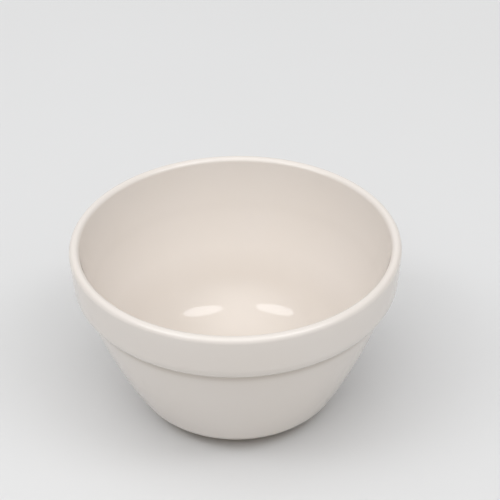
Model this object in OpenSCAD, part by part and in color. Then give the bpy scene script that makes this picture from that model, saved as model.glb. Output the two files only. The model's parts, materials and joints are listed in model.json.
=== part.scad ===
// Glazed ceramic mixing bowl with a thick collar round its rim.
// Everything is turned about the Z axis: the bowl stands on z = 0, with its axis at the origin.
// All sizes are millimetres over the glaze, except those of the foot ring, which is bare clay.

/* [Overall] */
// Diameter of the rim, over the widest part of the collar
rim_d = 160; // [130:1:200]
// Height from the surface the bowl stands on to the top of the lip
height = 91; // [74:1:120]
// Outer diameter of the foot ring
foot_d = 77; // [62:1:94]

/* [Lip and collar] */
// Thickness of the fully rounded lip
lip_t = 5; // [4:0.5:8]
// Height of the collar, from the top of the lip to the groove below it
collar_h = 25.5; // [20:0.5:36]
// How much further in the collar's face is at its lower edge than at the rim
collar_lean = 1.2; // [0.2:0.1:2]
// How far the collar stands out over the wall at the groove
collar_step = 4.8; // [3:0.1:8]
// Radius of the collar's rounded lower edge
collar_edge_r = 9.5; // [7:0.5:16]
// Radius of the slight bow in the collar's face
collar_bow_r = 250; // [150:10:500]

/* [Wall] */
// Thickness of the wall low down, where the inside starts to turn in to the floor
wall_t = 5.8; // [4.5:0.1:8]
// Radius of the wall's outward bow, seen in section
wall_bow_r = 255; // [160:5:400]
// Radius of the turn from the wall into the underside
turn_r = 18; // [12:1:24]

/* [Inside] */
// Radius of the bow of the inside wall, seen in section
inner_bow_r = 260; // [200:10:500]
// Radius of the turn from the inside wall into the floor
well_r = 42; // [30:1:48]
// Thickness of the floor
floor_t = 7; // [5:0.5:10]

/* [Foot] */
// Depth of the recess inside the foot ring
foot_h = 2; // [1.5:0.25:4]
// Width of the foot ring
foot_w = 4.5; // [3.5:0.5:7]
// Rounding of the foot ring's two lower edges
foot_edge_r = 1; // [0.5:0.25:1.5]
// How far the foot ring stands outside the circle where the wall's turn comes level
foot_out = 3; // [2:0.5:5]

/* [Glaze] */
// Thickness of the glaze
glaze_t = 0.3; // [0.2:0.05:0.5]
// Width of the bare band between the foot ring and the lower edge of the outside glaze
dry_band = 2; // [1:0.5:4]
// Bare gap between the foot ring and the patch of glaze inside it
underside_gap = 1.5; // [1:0.5:3]

/* [Hidden] */
$fn = 180;

CLAY = "#b9a78f";
GLAZE = "#e3dacb";

lip_r = lip_t / 2;
foot_r = foot_d / 2;
floor_z = foot_h + floor_t;

// The most that a straight piece of an arc strays from the true arc
chord_gap = 0.02;

// Half-plane points are [distance from the axis, height].

// Unit vector from a to b
function towards(a, b) = (b - a) / norm(b - a);

// The third side of a right-angled triangle with this long side and this short one
function leg(long_side, short_side) = sqrt(pow(long_side, 2) - pow(short_side, 2));

// The point at distance ra from a and rb from b, on the right-hand side of the way from a to b
function meet(a, ra, b, rb) =
    let (
        apart = norm(b - a),
        along = (apart * apart + ra * ra - rb * rb) / (2 * apart),
        aside = leg(ra, along),
        way = towards(a, b)
    )
    a + along * way + aside * [way[1], -way[0]];

// Centres of the small arcs of the section, each placed from the sizes above
lip_c = [rim_d / 2 - lip_r, height - lip_r];
edge_x = rim_d / 2 - collar_lean - collar_edge_r;
groove = [edge_x + collar_edge_r - collar_step, height - collar_h];
edge_c = [edge_x, groove[1] + leg(collar_edge_r, groove[0] - edge_x)];
turn_c = [foot_r - foot_out, foot_h + turn_r];

// Centres of the outside's long arcs, each of which runs smoothly into the small arcs at its ends
collar_c = meet(lip_c, collar_bow_r - lip_r, edge_c, collar_bow_r - collar_edge_r);
wall_c = meet(groove, wall_bow_r, turn_c, wall_bow_r - turn_r);

// Centres of the inside's arcs: the well keeps wall_t from the wall and floor_t from the underside
well_z = floor_z + well_r;
well_c = [wall_c[0] + leg(wall_bow_r - wall_t - well_r, well_z - wall_c[1]), well_z];
inner_c = meet(lip_c, inner_bow_r + lip_r, well_c, inner_bow_r - well_r);

// Angles about the turn's centre, from straight down: of the foot's outer face and of the glaze line
foot_angle = asin(foot_out / (turn_r - glaze_t));
glaze_line_angle = foot_angle + dry_band / turn_r * 180 / PI;

// The angle from c to p, between -180 and 180 degrees
function bearing(c, p) = atan2(p[1] - c[1], p[0] - c[0]);

// The point of the arc of radius r about c that lies at "angle" from straight down
function from_below(c, r, angle) = c + r * [sin(angle), -cos(angle)];

// Points along the arc of radius r about c from p to q, the short way round, close enough together
// that no chord strays more than chord_gap from the arc
function arc(c, r, p, q) =
    let (
        start = bearing(c, p),
        sweep = bearing(c, q) - start,
        steps = ceil(abs(sweep) / (2 * acos(1 - chord_gap / r)))
    )
    [for (i = [0:steps]) c + r * [cos(start + sweep * i / steps), sin(start + sweep * i / steps)]];

// The points of a list without its first one, which the list before it has already
function rest(points) = [for (i = [1:len(points) - 1]) points[i]];

// The same points the other way round
function reversed(points) = [for (i = [len(points) - 1:-1:0]) points[i]];

// The bowl's surface in section, "under" below the finished one: from the glaze line up the outside,
// over the lip and down the inside to the axis
function skin_line(under) =
    let (
        lip = lip_r - under,
        collar_bow = collar_bow_r - under,
        edge = collar_edge_r - under,
        wall_bow = wall_bow_r - under,
        turn = turn_r - under,
        inner_bow = inner_bow_r + under,
        well = well_r + under,
        glaze_line = from_below(turn_c, turn, glaze_line_angle),
        turn_top = turn_c + turn * towards(wall_c, turn_c),
        wall_top = meet(wall_c, wall_bow, edge_c, edge),
        edge_top = edge_c + edge * towards(collar_c, edge_c),
        lip_out = lip_c + lip * towards(collar_c, lip_c),
        lip_top = lip_c + [0, lip],
        lip_in = lip_c + lip * towards(lip_c, inner_c),
        well_top = well_c + well * towards(inner_c, well_c),
        well_end = from_below(well_c, well, 0)
    )
    concat(
        arc(turn_c, turn, glaze_line, turn_top),
        rest(arc(wall_c, wall_bow, turn_top, wall_top)),
        rest(arc(edge_c, edge, wall_top, edge_top)),
        rest(arc(collar_c, collar_bow, edge_top, lip_out)),
        rest(arc(lip_c, lip, lip_out, lip_top)),
        rest(arc(lip_c, lip, lip_top, lip_in)),
        rest(arc(inner_c, inner_bow, lip_in, well_top)),
        rest(arc(well_c, well, well_top, well_end)),
        [[0, well_end[1]]]
    );

// The underside in section: the recess, the foot ring and the bare band up to the glaze line
function underside() =
    let (
        turn = turn_r - glaze_t,
        recess = foot_h + glaze_t,
        foot_in = foot_r - foot_w,
        e = foot_edge_r,
        inner_edge_c = [foot_in + e, e],
        outer_edge_c = [foot_r - e, e],
        foot_top = from_below(turn_c, turn, foot_angle),
        glaze_line = from_below(turn_c, turn, glaze_line_angle),
        bare_band = arc(turn_c, turn, foot_top, glaze_line)
    )
    concat(
        [[0, recess], [foot_in, recess]],
        arc(inner_edge_c, e, [foot_in, e], [foot_in + e, 0]),
        arc(outer_edge_c, e, [foot_r - e, 0], [foot_r, e]),
        [for (i = [0:len(bare_band) - 2]) bare_band[i]]
    );

// The fired clay: wall, collar, lip and floor in one form, standing on its bare foot ring
module clay_body() {
    color(CLAY) rotate_extrude() polygon(concat(underside(), skin_line(glaze_t)));
}

// The glaze over the outside, the collar, the lip and the inside, in one unbroken skin
module glaze_coat() {
    color(GLAZE) rotate_extrude() polygon(concat(skin_line(0), reversed(skin_line(glaze_t))));
}

// The patch of glaze in the recess, cut off from the coat by the bare foot ring
module underside_glaze() {
    color(GLAZE) translate([0, 0, foot_h])
        cylinder(h = glaze_t, r = foot_r - foot_w - underside_gap);
}

clay_body();
glaze_coat();
underside_glaze();
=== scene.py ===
# %% [markdown]
# # A glazed ceramic mixing bowl
#
# The real object is a kitchen bowl of buff clay under a cream glaze. The clay was pressed in one piece on a
# turning mould, with a thick collar round its rim, and the glaze was poured over it and fired on. It is one
# of the simplest things to draw and one of the hardest to make look real: there is nothing on it but form
# and gloss, so the shape of its section, the softness of its corners and the light that it mirrors have to
# carry it all.
#
# The scene is built round the engineering model of the same bowl. That model fixes where everything is and
# how big it is, and here its three pieces are made again with a finer skin and finished surfaces.

# %% The engineering model
import json
import math

import bmesh
import bpy
from mathutils import Matrix, Quaternion, Vector
from mathutils.bvhtree import BVHTree


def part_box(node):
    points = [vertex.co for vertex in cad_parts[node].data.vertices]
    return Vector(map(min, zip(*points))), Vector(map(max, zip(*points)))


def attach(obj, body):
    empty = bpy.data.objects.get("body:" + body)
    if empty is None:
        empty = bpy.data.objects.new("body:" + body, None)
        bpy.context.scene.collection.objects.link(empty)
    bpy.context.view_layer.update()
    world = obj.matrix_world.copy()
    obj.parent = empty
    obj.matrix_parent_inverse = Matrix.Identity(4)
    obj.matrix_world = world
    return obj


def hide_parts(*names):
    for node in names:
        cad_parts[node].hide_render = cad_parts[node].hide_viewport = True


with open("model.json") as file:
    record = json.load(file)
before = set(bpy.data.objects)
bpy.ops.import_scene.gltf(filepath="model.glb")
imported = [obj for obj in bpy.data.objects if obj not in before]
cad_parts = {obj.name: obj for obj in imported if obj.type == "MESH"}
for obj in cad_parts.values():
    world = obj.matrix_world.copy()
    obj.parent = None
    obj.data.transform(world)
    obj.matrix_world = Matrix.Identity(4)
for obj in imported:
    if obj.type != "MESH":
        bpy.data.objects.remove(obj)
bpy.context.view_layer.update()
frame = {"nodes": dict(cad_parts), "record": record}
MM = 0.001
print("pieces of the engineering model:", sorted(frame["nodes"]))

# %% [markdown]
# ## The camera
#
# The bowl is seen from the front and from well above the rim, a good third of the way from level to
# straight down, so that the inside shows as much as the outside. A long lens from nearly a metre away keeps
# the ellipse of the rim even, where a short lens would swell its near side. The camera could be placed by
# its own coordinates, but then nobody can tell what it looks at. So it is placed as a photographer would
# say it: a point to aim at, a direction, a distance and a slight tilt of the head.

# %% Placing the camera
aim = Vector((7.0, 0, 85.3)) * MM
camera_turn, camera_rise, camera_tilt = (math.radians(d) for d in (-0.55, 34.17, -0.69))
camera_distance = 0.903

def direction(turn, rise):
    """The direction from the bowl towards something that stands round it by turn and above it by rise."""
    level = math.cos(rise)
    return Vector((math.sin(turn) * level, -math.cos(turn) * level, math.sin(rise)))

lens = bpy.data.cameras.new("studio_camera")
lens.lens = 134.8
lens.sensor_width = 36
camera = bpy.data.objects.new("studio_camera", lens)
bpy.context.collection.objects.link(camera)
look = -direction(camera_turn, camera_rise)
camera.location = aim - look * camera_distance
camera.rotation_mode = "QUATERNION"
camera.rotation_quaternion = look.to_track_quat("-Z", "Y") @ Quaternion((0, 0, 1), camera_tilt)
bpy.context.scene.camera = camera
print("the camera stands at", [round(c, 3) for c in camera.location])

# %% [markdown]
# ## The drawing
#
# A potter checks a bowl with a template, a card cut to the shape of its section. The section here is drawn
# with a compass: every stretch of it is an arc, and each arc starts where the last one ended with no corner
# between them, because a corner under a gloss glaze shows at once as a broken reflection. Typing in a long
# list of points would give the same outline, but nobody could change the collar without moving all of them.
#
# The overall sizes are read from the engineering model. The others are its driving sizes, and the centres
# of the arcs follow from them.

# %% The driving sizes
coat_low, coat_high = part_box("glaze_coat")
clay_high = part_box("clay_body")[1]
patch_low, patch_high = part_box("underside_glaze")
foot_mount = next(m for m in frame["record"]["mounts"] if m["name"] == "foot")

rim_r, rim_z = coat_high.x, coat_high.z
glaze_t = coat_high.x - clay_high.x
underside_z = patch_low.z

lip_r = 2.5 * MM
collar_h, collar_lean, collar_step = 25.5 * MM, 1.2 * MM, 4.8 * MM
collar_edge_r, collar_bow_r = 9.5 * MM, 250 * MM
wall_t, wall_bow_r, turn_r = 5.8 * MM, 255 * MM, 18 * MM
inner_bow_r, well_r, floor_t = 260 * MM, 42 * MM, 7 * MM
foot_w, foot_edge_r, foot_out = 4.5 * MM, 1 * MM, 3 * MM
foot_r = foot_mount["pos_m"][0] + foot_w / 2
print(
    f"rim {2 * rim_r / MM:.1f}, height {rim_z / MM:.1f}, "
    f"glaze {glaze_t / MM:.2f}, foot {2 * foot_r / MM:.1f} mm")

# %% The centres of the arcs
def towards(a, b):
    """The direction from point a to point b."""
    return (b - a).normalized()

def leg(long_side, short_side):
    """The third side of a right-angled triangle."""
    return math.sqrt(long_side**2 - short_side**2)

def meet(a, reach_a, b, reach_b):
    """The point at reach_a from a and reach_b from b, on the right-hand side of the way from a to b."""
    apart, way = (b - a).length, towards(a, b)
    along = (apart**2 + reach_a**2 - reach_b**2) / (2 * apart)
    return a + along * way + leg(reach_a, along) * Vector((way.y, -way.x))

lip_c = Vector((rim_r - lip_r, rim_z - lip_r))
edge_x = rim_r - collar_lean - collar_edge_r
groove_r, groove_z = edge_x + collar_edge_r - collar_step, rim_z - collar_h
groove = Vector((groove_r, groove_z))
edge_c = Vector((edge_x, groove_z + leg(collar_edge_r, groove_r - edge_x)))
turn_c = Vector((foot_r - foot_out, underside_z + turn_r))
collar_c = meet(lip_c, collar_bow_r - lip_r, edge_c, collar_bow_r - collar_edge_r)
wall_c = meet(groove, wall_bow_r, turn_c, wall_bow_r - turn_r)
well_z = underside_z + floor_t + well_r
well_c = Vector((wall_c.x + leg(wall_bow_r - wall_t - well_r, well_z - wall_c.y), well_z))
inner_c = meet(lip_c, inner_bow_r + lip_r, well_c, inner_bow_r - well_r)
print("the groove under the collar is at", [round(c / MM, 2) for c in groove], "mm")

# %% [markdown]
# ## The compass
#
# In the section, a point is its distance from the bowl's axis and its height. A pen, a single vertex, is
# swung about the centre of each arc by the spin operator, which leaves a chain of edges behind it. How many
# edges an arc takes is a question of what will be seen: tight curves need a step every few degrees and long
# ones a step every couple of millimetres. Where the line is buried under the glaze, far fewer do.
#
# One and the same line serves three times: as the face of the glaze, as the back of the glaze, and as the
# clay that the back lies on.

# %% Pen and compass
FINE, BURIED = (math.radians(4), 2.0 * MM), (math.radians(12), 5.0 * MM)

def in_space(point):
    """The place of a point of the section in the bowl's own space."""
    return Vector((point.x, 0, point.y))

def rule(bm, pen, end):
    """Draws a straight edge from the pen to end, and returns the pen there."""
    moved = bm.verts.new(in_space(end))
    bm.edges.new((pen, moved))
    return moved

def swing(bm, pen, centre, end, grade):
    """Swings the pen about centre as far as end, the short way round, and returns the pen there."""
    start = Vector((pen.co.x, pen.co.z)) - centre
    sweep = start.angle_signed(end - centre)
    step_angle, step_length = grade
    steps = math.ceil(max(abs(sweep) / step_angle, abs(sweep) * start.length / step_length))
    swung = bmesh.ops.spin(
        bm, geom=[pen], cent=in_space(centre), axis=(0, 1, 0), angle=sweep, steps=steps)
    return next(piece for piece in swung["geom_last"] if isinstance(piece, bmesh.types.BMVert))

def trace(bm, pen, centres, ends, grade):
    """Draws one arc after another, or a straight edge where the centre is None. Returns each end."""
    stops = []
    for centre, end in zip(centres, ends):
        pen = swing(bm, pen, centre, end, grade) if centre else rule(bm, pen, end)
        stops.append(pen)
    return stops

def from_below(centre, reach, angle):
    """The point at reach from centre and at angle from straight below it, outwards."""
    return centre + reach * Vector((math.sin(angle), -math.cos(angle)))

foot_angle = math.asin(foot_out / (turn_r - glaze_t))
glaze_line_angle = math.acos((turn_c.y - coat_low.z) / turn_r)

surface_centres = [None, well_c, inner_c, lip_c, collar_c, edge_c, wall_c, turn_c]

def surface_stations(under):
    """The ends of the arcs of the bowl's surface, from the middle of its floor to the glaze line."""
    well_end = from_below(well_c, well_r + under, 0)
    return [
        Vector((0, well_end.y)),
        well_end,
        well_c + (well_r + under) * towards(inner_c, well_c),
        lip_c + (lip_r - under) * towards(lip_c, inner_c),
        lip_c + (lip_r - under) * towards(collar_c, lip_c),
        edge_c + (collar_edge_r - under) * towards(collar_c, edge_c),
        meet(wall_c, wall_bow_r - under, edge_c, collar_edge_r - under),
        turn_c + (turn_r - under) * towards(wall_c, turn_c),
        from_below(turn_c, turn_r - under, glaze_line_angle),
    ]

print("the glaze ends", round(math.degrees(glaze_line_angle), 1), "degrees up the turn of the wall")

# %% [markdown]
# ## From the section to the bowl
#
# Turning the section about the axis is what the potter's wheel does, and the spin operator does it in one
# go. A Screw modifier would do the same and stay live, but the corners have to be rounded and the glaze
# line given its wobble on the finished ring of vertices, so the turning is done here. After it the two
# poles are many vertices in one place: they are merged first, and only then are the faces told which way is
# out.

# %% Turning
AROUND = 256
MERGE_GAP = 0.001 * MM

def turned(bm):
    """Turns the section about the bowl's axis into a closed skin whose faces point outwards."""
    section = bm.verts[:] + bm.edges[:]
    bmesh.ops.spin(
        bm, geom=section, cent=(0, 0, 0), axis=(0, 0, 1), angle=2 * math.pi, steps=AROUND, use_merge=True)
    bmesh.ops.remove_doubles(bm, verts=bm.verts, dist=MERGE_GAP)
    bmesh.ops.recalc_face_normals(bm, faces=bm.faces)

def rounded(bm, corner, radius, segments):
    """Rounds off one corner of the section by a bevel of its vertex."""
    bmesh.ops.bevel(
        bm, geom=[corner], offset=radius, offset_type="OFFSET", segments=segments, profile=0.5,
        affect="VERTICES", material=-1)

def piece_from(bm, name):
    """Makes the shape a smooth-shaded object at the origin, and prints what it came to."""
    open_edges = sum(not edge.is_manifold for edge in bm.edges)
    volume = bm.calc_volume(signed=True)
    mesh = bpy.data.meshes.new(name)
    bm.to_mesh(mesh)
    bm.free()
    mesh.shade_smooth()
    piece = bpy.data.objects.new(name, mesh)
    bpy.context.collection.objects.link(piece)
    print(f"{name}: {len(mesh.polygons)} faces, {volume / MM**3:.0f} cubic mm, {open_edges} open edges")
    return piece

def gap_to_cad(piece, node):
    """The farthest that any corner of the CAD node lies from the new piece."""
    points = [corner.co for corner in piece.data.vertices]
    skin = BVHTree.FromPolygons(points, [face.vertices[:] for face in piece.data.polygons])
    return max(skin.find_nearest(corner.co)[3] for corner in frame["nodes"][node].data.vertices)

# %% [markdown]
# ## The glaze
#
# The glaze is a skin three tenths of a millimetre thick over everything but the foot. It could be a change
# of colour on the clay, but its lower edge is a real edge: the glaze ran down while it was molten and
# stopped in a low, rolled bead. It also flowed into the groove under the collar and filled its corner. So
# it is a piece of its own: its face is drawn from the middle of the floor over the lip to the glaze line,
# and its back is drawn the same way back.

# %% Drawing and turning the glaze
groove_fill_r = 0.6 * MM
bead_r = 0.13 * MM

glaze_face, glaze_back = surface_stations(0), surface_stations(glaze_t)
skin = bmesh.new()
pen = skin.verts.new(in_space(glaze_face[0]))
stops = trace(skin, pen, surface_centres, glaze_face[1:], FINE)
at_glaze_line = rule(skin, stops[-1], glaze_back[-1])
trace(skin, at_glaze_line, surface_centres[::-1], glaze_back[-2::-1], BURIED)
rounded(skin, stops[-3], groove_fill_r, 6)
rounded(skin, stops[-1], bead_r, 4)
turned(skin)
print("the skin of glaze has", len(skin.verts), "vertices")

# %% [markdown]
# A sponge wiped the glaze back from the foot, so the glaze line isn't a drawn circle. It is moved after the
# turning: a few sine waves of different lengths make it wander, and the move fades out a few millimetres up
# the wall. Each vertex slides along the turn of the wall, so the skin keeps its thickness and its seat on
# the clay.

# %% The wander of the glaze line
def wander(turn):
    """How far a wiped edge strays at this place round the bowl, between -1 and 1."""
    waves = ((0.45, 3, 0.7), (0.3, 7, 2.1), (0.15, 16, 4.0), (0.1, 29, 1.2))
    return sum(share * math.sin(count * turn + start) for share, count, start in waves)

def cylindrical(place):
    """A place as its distance from the axis, its height and its turn round the axis."""
    return math.hypot(place.x, place.y), place.z, math.atan2(place.y, place.x)

line_wander, wander_fade = 0.6 * MM, 5 * MM
for corner in skin.verts:
    reach, rise, turn = cylindrical(corner.co)
    share = 1 - (rise - coat_low.z) / wander_fade
    if share > 0:
        spoke = Vector((reach, rise)) - turn_c
        spoke.rotate(Matrix.Rotation(line_wander * wander(turn) * share**2 / turn_r, 2))
        moved = turn_c + spoke
        corner.co = (moved.x * math.cos(turn), moved.x * math.sin(turn), moved.y)
print("the glaze line strays by up to", round(line_wander / MM, 1), "mm")

# %% [markdown]
# Where the glaze is thick its cream is deeper, and where it runs out the clay shows through. The pool value
# is
# also painted shade: besides deeper glaze, it darkens the corner of the groove under the collar and the
# bottom of the well. Both values are written on the vertices while the drawing is at hand. The pool value
# is 1 in the corner of the groove and a good half in the bottom of the well, and `thin` rises from the bare
# wall to 1 at the glaze line. The finish reads them, so it follows the form.

# %% Where the glaze is thick or thin, and where shade is painted
def write_on(bm, name, rule_for):
    """Writes a value on every vertex, worked out from its distance from the axis and its height."""
    layer = bm.verts.layers.float.new(name)
    for corner in bm.verts:
        reach, rise, _ = cylindrical(corner.co)
        corner[layer] = min(1, max(0, rule_for(reach, rise)))

# The reach of the groove's pool and the rise of the well's pool: painted shade as well as deeper glaze.
pool_and_shade_reach, thin_reach = 2.9 * MM, 3.0 * MM
well_pool_and_shade, well_pool_and_shade_top, well_pool_and_shade_fade = 0.55, 46 * MM, 30 * MM

def pool_and_shade_at(reach, rise):
    """Deeper glaze and painted shade in the groove and, over a wide soft edge, in the bottom of the well.
    """
    place = Vector((reach, rise))
    groove_pool_and_shade = math.exp(-((place - groove).length / pool_and_shade_reach) ** 2)
    in_well = rise > underside_z + floor_t / 2 and (place - wall_c).length < wall_bow_r - wall_t / 2
    depth = min(1, max(0, (well_pool_and_shade_top - rise) / well_pool_and_shade_fade))
    return max(groove_pool_and_shade, well_pool_and_shade * depth if in_well else 0)

# The pool value written here is deeper glaze and painted shade in the groove and the bottom of the well.
write_on(skin, "pool_and_painted_shade", pool_and_shade_at)
write_on(skin, "thin", lambda reach, rise: 1 - (rise - coat_low.z) / thin_reach)
glazed_skin = piece_from(skin, "glazed_skin")
print("farthest from the engineering model:", round(gap_to_cad(glazed_skin, "glaze_coat") / MM, 3), "mm")

# %% [markdown]
# ## The clay
#
# Under the glaze the whole bowl is one form of fired clay. Almost none of it shows: only the foot ring,
# which is wiped clean so that the bowl doesn't stick to the kiln shelf, a narrow bare band above it, and
# the rim of the recess inside it. The buried part is drawn coarsely, along the same line as the back of the
# glaze, and the bare part finely. The two inner corners of the foot are softened, as a wet sponge leaves
# them.

# %% Drawing and turning the clay
recess_z = patch_high.z
foot_in = foot_r - foot_w
inner_edge_c = Vector((foot_in + foot_edge_r, foot_edge_r))
outer_edge_c = Vector((foot_r - foot_edge_r, foot_edge_r))
outer_soften_r, inner_soften_r = 0.7 * MM, 1.0 * MM
foot_line = [
    (turn_c, from_below(turn_c, turn_r - glaze_t, foot_angle)),
    (None, Vector((foot_r, foot_edge_r))),
    (outer_edge_c, Vector((foot_r - foot_edge_r, 0))),
    (None, Vector((foot_in + foot_edge_r, 0))),
    (inner_edge_c, Vector((foot_in, foot_edge_r))),
    (None, Vector((foot_in, recess_z))),
    (None, Vector((0, recess_z))),
]

clay = bmesh.new()
pen = clay.verts.new(in_space(glaze_back[0]))
pen = trace(clay, pen, surface_centres, glaze_back[1:], BURIED)[-1]
stops = trace(clay, pen, *zip(*foot_line), FINE)
rounded(clay, stops[0], outer_soften_r, 4)
rounded(clay, stops[-2], inner_soften_r, 5)
turned(clay)
clay_form = piece_from(clay, "fired_clay_form")
print("farthest from the engineering model:", round(gap_to_cad(clay_form, "clay_body") / MM, 3), "mm")

# %% [markdown]
# ## The glaze under the bowl
#
# Inside the foot ring the recess has its own patch of glaze, poured in with the bowl upside down. It is a
# low disc with a rounded shoulder and a wandering outline. A cylinder would have a knife edge for a rim, so
# half its section is drawn, its lower corner is rounded, and it is turned like the rest.

# %% Drawing and turning the patch
patch_r = patch_high.x
shoulder_r, outline_wander = 0.24 * MM, 0.5 * MM
patch = bmesh.new()
pen = patch.verts.new(in_space(Vector((0, patch_low.z))))
patch_line = [Vector((patch_r, patch_low.z)), Vector((patch_r, patch_high.z)), Vector((0, patch_high.z))]
shoulder = trace(patch, pen, [None] * 3, patch_line, FINE)[0]
rounded(patch, shoulder, shoulder_r, 5)
long_edges = [edge for edge in patch.edges if edge.calc_length() > patch_r / 2]
bmesh.ops.subdivide_edges(patch, edges=long_edges, cuts=15)
turned(patch)
for corner in patch.verts:
    reach, _, turn = cylindrical(corner.co)
    drawn_in = outline_wander * (1 - wander(turn)) / 2 * (reach / patch_r) ** 4
    corner.co.xy *= 1 - drawn_in / patch_r
write_on(patch, "pool_and_painted_shade", lambda reach, rise: 0)
write_on(patch, "thin", lambda reach, rise: 1 - (patch_r - reach) / thin_reach)
underside_patch = piece_from(patch, "underside_patch")

# %% [markdown]
# ## Effects that the finishes share
#
# Fired surfaces have a few habits in common. Their tone drifts from place to place with the heat of the
# kiln, they carry a few dark specks of iron, and nothing that was once wet is quite flat. Each habit is a
# node group with named sockets, built once and given its own values in each finish. They work in the bowl's
# own coordinates, in metres, so that a value such as 60 to the metre can be checked with a ruler.

# %% Helpers for nodes
def add(tree, kind, inputs=None, **settings):
    """Adds a node with these settings, and feeds its inputs: each from a socket, or with a fixed value."""
    node = tree.nodes.new(kind)
    for name, value in settings.items():
        setattr(node, name, value)
    for name, source in (inputs or {}).items():
        if isinstance(source, bpy.types.NodeSocket):
            tree.links.new(source, node.inputs[name])
        else:
            node.inputs[name].default_value = source
    return node

def arithmetic(tree, operation, *values):
    """One step of arithmetic, as a node. Returns its output."""
    return add(tree, "ShaderNodeMath", dict(enumerate(values)), operation=operation).outputs[0]

def tinted(tree, share, tone, other_tone):
    """A mix of two colours, as a node. Returns its output."""
    mix = add(tree, "ShaderNodeMix", data_type="RGBA")
    factor, first, second = mix.inputs[0], mix.inputs[6], mix.inputs[7]
    for socket, source in ((factor, share), (first, tone), (second, other_tone)):
        if isinstance(source, bpy.types.NodeSocket):
            tree.links.new(source, socket)
        else:
            socket.default_value = source
    return mix.outputs[2]

def open_group(name, result, **inputs):
    """A new node group with one result. Each input is a kind of socket and its starting value."""
    group = bpy.data.node_groups.new(name, "ShaderNodeTree")
    for socket_name, (kind, start) in inputs.items():
        socket = group.interface.new_socket(
            name=socket_name, in_out="INPUT", socket_type="NodeSocket" + kind)
        if start is not None:
            socket.default_value = start
    group.interface.new_socket(name=result[0], in_out="OUTPUT", socket_type="NodeSocket" + result[1])
    return group, group.nodes.new("NodeGroupInput").outputs, group.nodes.new("NodeGroupOutput")

# %% Tone that drifts
drift, given, made = open_group(
    "tone_drift", ("Tone", "Color"),
    Place=("Vector", None), Tone=("Color", None), Other=("Color", None),
    Patches=("Float", 25), Share=("Float", 0.5))
cloud = add(drift, "ShaderNodeTexNoise", {
    "Vector": given["Place"], "Scale": given["Patches"], "Detail": 3, "Roughness": 0.45})
spread = add(drift, "ShaderNodeMapRange", {
    "Value": cloud.outputs[0], "From Min": 0.3, "From Max": 0.7}, interpolation_type="SMOOTHSTEP")
share = arithmetic(drift, "MULTIPLY", spread.outputs[0], given["Share"])
drift.links.new(tinted(drift, share, given["Tone"], given["Other"]), made.inputs["Tone"])
print("tone_drift takes", [socket.name for socket in given if socket.name])

# %% [markdown]
# A speck is a dot round a point of a cell pattern. Most cells go without one: the cell's own random shade
# decides that, so only the share asked for has a dot.

# %% Specks of iron
specks, given, made = open_group(
    "kiln_specks", ("Mask", "Float"),
    Place=("Vector", None), Cells=("Float", 150), Radius=("Float", 0.05), Share=("Float", 0.1))
cells = add(specks, "ShaderNodeTexVoronoi", {"Vector": given["Place"], "Scale": given["Cells"]})
chance = add(specks, "ShaderNodeSeparateColor", {"Color": cells.outputs["Color"]})
chosen = arithmetic(specks, "LESS_THAN", chance.outputs[0], given["Share"])
size = arithmetic(specks, "MULTIPLY", given["Radius"], arithmetic(specks, "ADD", chance.outputs[1], 0.3))
heart = arithmetic(specks, "MULTIPLY", size, 0.6)
dot = add(specks, "ShaderNodeMapRange", {
    "Value": cells.outputs["Distance"], "From Min": size, "From Max": heart,
}, interpolation_type="SMOOTHSTEP")
specks.links.new(arithmetic(specks, "MULTIPLY", dot.outputs[0], chosen), made.inputs["Mask"])
print("kiln_specks takes", [socket.name for socket in given if socket.name])

# %% [markdown]
# The height of a surface has two scales: a slow swell, left by the glaze or the clay as it settled, and a
# fine grain. Both are given in thousandths of a millimetre, and a Bump node in each finish turns them into
# a tilt.

# %% Swell and grain
relief, given, made = open_group(
    "swell_and_grain", ("Height", "Float"),
    Place=("Vector", None), Swells=("Float", 60), Swell_height=("Float", 10),
    Grains=("Float", 1500), Grain_height=("Float", 1))
swell = add(relief, "ShaderNodeTexNoise", {
    "Vector": given["Place"], "Scale": given["Swells"], "Detail": 1, "Roughness": 0.3})
grain = add(relief, "ShaderNodeTexNoise", {
    "Vector": given["Place"], "Scale": given["Grains"], "Detail": 2, "Roughness": 0.6})
heights = arithmetic(
    relief, "ADD",
    arithmetic(relief, "MULTIPLY", swell.outputs[0], given["Swell_height"]),
    arithmetic(relief, "MULTIPLY", grain.outputs[0], given["Grain_height"]))
relief.links.new(heights, made.inputs["Height"])
print("swell_and_grain takes", [socket.name for socket in given if socket.name])

# %% [markdown]
# ## The cream glaze
#
# A glaze is glass over a pale ground. Its colour comes from below and its shine from its face, which is
# what the Principled shader's base colour and its gloss are, so no layer of clear coat is added. The cream
# drifts by a hair from place to place, deepens where the glaze has pooled, and turns to buff where it runs
# out. The same deeper tone also paints shade into the groove under the collar and the bottom of the well.
# The face is smooth enough to mirror a lamp with a crisp edge, but it settled in a slow swell that
# bends such an edge a little.

# %% Making the glaze
MICRON = 0.001 * MM
cream = (0.80, 0.745, 0.695, 1)
warm_cream = (0.79, 0.73, 0.67, 1)
# The pooled cream is deeper glaze and painted shade for the groove and the bottom of the well.
pooled_and_shaded_cream = (0.53, 0.465, 0.40, 1)
clay_through_glaze = (0.60, 0.48, 0.35, 1)
iron = (0.22, 0.13, 0.07, 1)

def start_finish(name):
    """A new material. Returns it with its nodes, its shader and the bowl's own coordinates."""
    finish = bpy.data.materials.new(name)
    finish.use_nodes = True
    tree = finish.node_tree
    place = add(tree, "ShaderNodeTexCoord").outputs["Object"]
    return finish, tree, tree.nodes["Principled BSDF"], place

def effect(tree, group, **inputs):
    """Places a shared effect with its own values. Returns its result."""
    return add(tree, "ShaderNodeGroup", inputs, node_tree=group).outputs[0]

def written(tree, name):
    """The value that the drawing wrote on the vertices under this name."""
    return add(tree, "ShaderNodeAttribute", attribute_name=name).outputs["Fac"]

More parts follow.
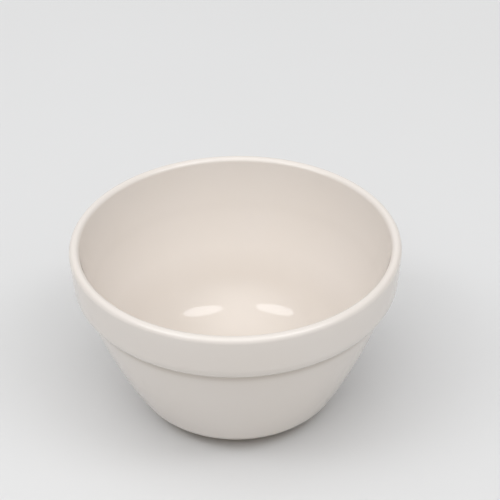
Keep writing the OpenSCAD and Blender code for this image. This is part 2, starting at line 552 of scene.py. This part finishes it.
def glaze_finish(name, roughness, swell_height):
    """A cream glaze with its own roughness and its own height of swell, in thousandths of a millimetre."""
    finish, tree, shader, place = start_finish(name)
    tone = effect(tree, drift, Place=place, Tone=cream, Other=warm_cream, Patches=22, Share=0.6)
    # Deeper glaze and painted shade: the pool value darkens the groove and the bottom of the well.
    tone = tinted(tree, arithmetic(tree, "MULTIPLY", written(tree, "pool_and_painted_shade"), 0.8), tone, pooled_and_shaded_cream)
    tone = tinted(tree, arithmetic(tree, "POWER", written(tree, "thin"), 2), tone, clay_through_glaze)
    dots = effect(tree, specks, Place=place, Cells=170, Radius=0.035, Share=0.06)
    tone = tinted(tree, arithmetic(tree, "MULTIPLY", dots, 0.35), tone, iron)
    tree.links.new(tone, shader.inputs["Base Color"])
    dulled = effect(tree, relief, Place=place, Swells=35, Swell_height=0.05, Grains=900, Grain_height=0.02)
    tree.links.new(arithmetic(tree, "ADD", dulled, roughness), shader.inputs["Roughness"])
    height = effect(
        tree, relief, Place=place, Swells=55, Swell_height=swell_height, Grains=1200, Grain_height=0.3)
    bump = add(tree, "ShaderNodeBump", {"Height": height, "Distance": MICRON})
    tree.links.new(bump.outputs["Normal"], shader.inputs["Normal"])
    shader.inputs["IOR"].default_value = 1.52
    return finish

cream_glaze = glaze_finish("cream_glaze", roughness=0.02, swell_height=14)
underside_glaze = glaze_finish("underside_glaze", roughness=0.14, swell_height=40)

# %% [markdown]
# ## The bare clay
#
# Fired stoneware is matt and a little gritty: buff, with patches that took more heat, small iron specks,
# and the fine rings that the turning tool left, which all lie round the axis. The rings are a wave pattern
# in rings about Z, shaken a little so that no two are alike.

# %% Making the clay
buff, toasted = (0.53, 0.43, 0.31, 1), (0.43, 0.32, 0.21, 1)

fired_clay, tree, shader, place = start_finish("fired_clay")
tone = effect(tree, drift, Place=place, Tone=buff, Other=toasted, Patches=90, Share=0.7)
dots = effect(tree, specks, Place=place, Cells=650, Radius=0.22, Share=0.16)
tone = tinted(tree, arithmetic(tree, "MULTIPLY", dots, 0.7), tone, iron)
tree.links.new(tone, shader.inputs["Base Color"])
rings = add(tree, "ShaderNodeTexWave", {
    "Vector": place, "Scale": 220, "Distortion": 1.5, "Detail": 2, "Detail Scale": 3,
}, wave_type="RINGS", rings_direction="Z")
height = effect(tree, relief, Place=place, Swells=180, Swell_height=40, Grains=3500, Grain_height=60)
height = arithmetic(tree, "ADD", height, arithmetic(tree, "MULTIPLY", rings.outputs["Fac"], 14))
bump = add(tree, "ShaderNodeBump", {"Height": height, "Distance": MICRON})
tree.links.new(bump.outputs["Normal"], shader.inputs["Normal"])
shader.inputs["Roughness"].default_value = 0.82
shader.inputs["Specular IOR Level"].default_value = 0.3

# %% [markdown]
# ## Putting it together
#
# Each piece takes its finish, rides on the bowl's one body and stands for its node of the engineering
# model.

# %% Finishes and places
for piece, finish, node, slot in (
    (glazed_skin, cream_glaze, "glaze_coat", "cream_glaze"),
    (clay_form, fired_clay, "clay_body", "fired_clay"),
    (underside_patch, underside_glaze, "underside_glaze", "cream_glaze"),
):
    piece.data.materials.append(finish)
    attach(piece, "root")
    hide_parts(node)
    print(piece.name, "stands for", node)

# %% [markdown]
# ## The floor
#
# The bowl stands on plain pale paper. It is a wide disc, so that its edge is never in sight, and it has the
# faintest tooth and drift of tone, because a perfectly even floor reads as empty space.

# %% Making the floor
floor_r, floor_gap = 12, 0.02 * MM
paper = bmesh.new()
bmesh.ops.create_circle(paper, cap_ends=True, segments=96, radius=floor_r)
bmesh.ops.translate(paper, vec=(0, 0, -floor_gap), verts=paper.verts)
floor = piece_from(paper, "paper_floor")
pale_paper, tree, shader, place = start_finish("pale_paper")
tone = effect(tree, drift, Place=place, Tone=(0.72, 0.72, 0.72, 1), Other=(0.70, 0.70, 0.695, 1), Patches=3)
tree.links.new(tone, shader.inputs["Base Color"])
height = effect(tree, relief, Place=place, Swells=40, Swell_height=20, Grains=900, Grain_height=12)
bump = add(tree, "ShaderNodeBump", {"Height": height, "Distance": MICRON})
tree.links.new(bump.outputs["Normal"], shader.inputs["Normal"])
shader.inputs["Roughness"].default_value = 0.95
shader.inputs["Specular IOR Level"].default_value = 0.1
floor.data.materials.append(pale_paper)

# %% [markdown]
# ## The light
#
# The bowl is lit the way pottery is photographed: in a white tent, which wraps it in even light and gives
# the glaze something pale to mirror everywhere, with two long lamps in front and above that put the two
# crescents of light on the well. The tent is the world. It is brightest in front and high up, where it
# lights the inside far more than the outside, because the wall leans away from it. One even sky would make
# both sides of the wall equally bright, and the bowl would look flat. Each bright side is a direction, and
# its share grows smoothly towards it, so that no edge of it shows in the glaze.

# %% The tent
tent_sides = {
    "high_in_front": (0, 65, 0.6, 0.66),
    "high_on_the_left": (-55, 65, 0.6, 0.9),
    "high_on_the_right": (55, 65, 0.6, 0.32),
    "in_front": (0, 48, 0.5, 0.18),
    "right": (62, 52, 0.5, 0.42),
    "behind_on_the_left": (-120, 40, 0.45, 0.22),
    "low_behind": (180, 5, 0.45, 0.54),
    "low_on_the_left": (-90, 5, 0.45, 0.1),
}

tent = bpy.data.worlds.new("light_tent")
bpy.context.scene.world = tent
tent.use_nodes = True
tree = tent.node_tree
ray = add(tree, "ShaderNodeTexCoord").outputs["Generated"]
total = 0
for side, (turn, rise, edge, strength) in tent_sides.items():
    axis = direction(math.radians(turn), math.radians(rise))
    facing = add(tree, "ShaderNodeVectorMath", {0: ray, 1: axis}, operation="DOT_PRODUCT").outputs["Value"]
    glow = add(tree, "ShaderNodeMapRange", {
        "Value": facing, "From Min": edge, "To Max": strength}, interpolation_type="SMOOTHSTEP", name=side)
    total = arithmetic(tree, "ADD", total, glow.outputs[0])
tree.links.new(total, tree.nodes["Background"].inputs["Color"])
print("the tent's brightest side:", max(tent_sides, key=lambda side: tent_sides[side][3]))

# %% The strip lamps
def strip_lamp(name, turn, rise, lean, glow, colour):
    """A long oval lamp that faces the bowl. Lean turns it about that line. Glow is its radiance."""
    length, width, distance = 0.90, 0.34, 1.5
    box = bpy.data.lights.new(name, "AREA")
    box.shape, box.size, box.size_y = "ELLIPSE", length, width
    box.energy = glow * math.pi * length * width * math.pi / 4
    box.color = colour
    lamp = bpy.data.objects.new(name, box)
    bpy.context.collection.objects.link(lamp)
    way = direction(math.radians(turn), math.radians(rise))
    lamp.location = Vector((0, 0, rim_z / 2)) + way * distance
    lamp.rotation_mode = "QUATERNION"
    lamp.rotation_quaternion = (-way).to_track_quat("-Z", "Y") @ Quaternion((0, 0, 1), math.radians(lean))
    print(name, "stands at", [round(c, 2) for c in lamp.location])

lamp_colour = (0.97, 0.99, 1.03)
lamp_glow = {"left_strip": 3.4, "right_strip": 3.5}
strip_lamp("left_strip", -62, 53.3, 33, lamp_glow["left_strip"], lamp_colour)
strip_lamp("right_strip", 57.7, 56.6, -36, lamp_glow["right_strip"], lamp_colour)
bpy.context.scene.view_settings.view_transform = "Standard"
